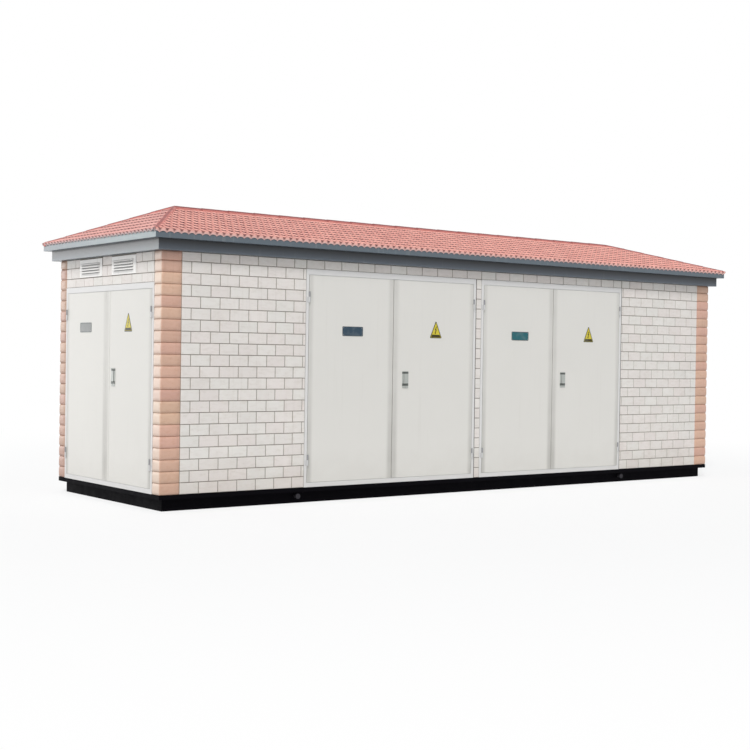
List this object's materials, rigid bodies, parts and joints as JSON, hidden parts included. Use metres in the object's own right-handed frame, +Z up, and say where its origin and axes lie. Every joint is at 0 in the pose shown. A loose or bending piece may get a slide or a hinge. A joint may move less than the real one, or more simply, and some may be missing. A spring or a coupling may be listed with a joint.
{
  "type": "compact substation enclosure",
  "caption": "Free-standing substation housing on a steel skid, with brick-clad walls, folded sheet double doors, louvre vents and a hipped tile roof.",
  "frame": {"origin": "centre of the footprint, at the underside of the skid", "axes": "+X along the building, +Y from the front doors to the back, +Z up"},
  "size_m": [8.528, 2.638, 3.1399],
  "materials": {
    "base_paint": "matte bitumen-black paint on rolled channel",
    "floor_paint": "worn grey floor paint",
    "quoin_blocks": "matt salmon blocks with cushioned faces",
    "brick_cladding": "off-white brick slips with thin brown-grey joints",
    "frame_paint": "satin pale grey paint",
    "door_paint": "satin warm white powder coat",
    "vent_paint": "satin near-white powder coat",
    "lock_metal": "satin grey metal",
    "fascia_paint": "satin blue-grey paint",
    "ceiling_paint": "satin pale grey paint",
    "roof_tile": "matt pink-red wave tiles",
    "cap_tile": "matt dull red caps"
  },
  "bodies": {
    "building": {"skid_frame": "base_paint", "cross_beams": "base_paint", "lifting_pins": "base_paint", "base_ledge": "base_paint", "floor_plate": "floor_paint", "corner_front_left": "quoin_blocks", "corner_front_right": "quoin_blocks", "corner_back_left": "quoin_blocks", "corner_back_right": "quoin_blocks", "front_wall_left": "brick_cladding", "front_pier": "brick_cladding", "front_wall_right": "brick_cladding", "front_lintel": "brick_cladding", "back_wall": "brick_cladding", "left_end_lintel": "brick_cladding", "right_end_lintel": "brick_cladding", "left_bay_frame": "frame_paint", "right_bay_frame": "frame_paint", "left_end_frame": "frame_paint", "right_end_frame": "frame_paint", "frame_hinges": "frame_paint", "right_end_door_back": "door_paint", "right_end_door_front": "door_paint", "left_end_vents": "vent_paint", "right_end_vents": "vent_paint", "right_end_lock": "lock_metal", "fascia": "fascia_paint", "eave_trim": "fascia_paint", "ceiling": "ceiling_paint", "roof_front": "roof_tile", "roof_back": "roof_tile", "roof_left": "roof_tile", "roof_right": "roof_tile", "ridge_cap": "cap_tile", "hip_caps": "cap_tile"},
    "left_bay_left_leaf": {"left_bay_door_left": "door_paint"},
    "left_bay_right_leaf": {"left_bay_door_right": "door_paint", "left_bay_lock": "lock_metal"},
    "right_bay_left_leaf": {"right_bay_door_left": "door_paint"},
    "right_bay_right_leaf": {"right_bay_door_right": "door_paint", "right_bay_lock": "lock_metal"},
    "left_end_back_leaf": {"left_end_door_back": "door_paint"},
    "left_end_front_leaf": {"left_end_door_front": "door_paint", "left_end_lock": "lock_metal"}
  },
  "joints": [
    {"name": "left_bay_left_hinge", "type": "hinge", "parent": "building", "child": "left_bay_left_leaf", "pos_m": [-2.38, -1.184, 0.165], "axis": [0, 0, -1], "range_deg": [0, 120]},
    {"name": "left_bay_right_hinge", "type": "hinge", "parent": "building", "child": "left_bay_right_leaf", "pos_m": [-0.08, -1.184, 0.165], "axis": [0, 0, 1], "range_deg": [0, 90]},
    {"name": "right_bay_left_hinge", "type": "hinge", "parent": "building", "child": "right_bay_left_leaf", "pos_m": [0.08, -1.184, 0.165], "axis": [0, 0, -1], "range_deg": [0, 90]},
    {"name": "right_bay_right_hinge", "type": "hinge", "parent": "building", "child": "right_bay_right_leaf", "pos_m": [2.38, -1.184, 0.165], "axis": [0, 0, 1], "range_deg": [0, 120]},
    {"name": "left_end_back_hinge", "type": "hinge", "parent": "building", "child": "left_end_back_leaf", "pos_m": [-4.129, 0.985, 0.165], "axis": [0, 0, -1], "range_deg": [0, 120]},
    {"name": "left_end_front_hinge", "type": "hinge", "parent": "building", "child": "left_end_front_leaf", "pos_m": [-4.129, -0.985, 0.165], "axis": [0, 0, 1], "range_deg": [0, 120]}
  ]
}
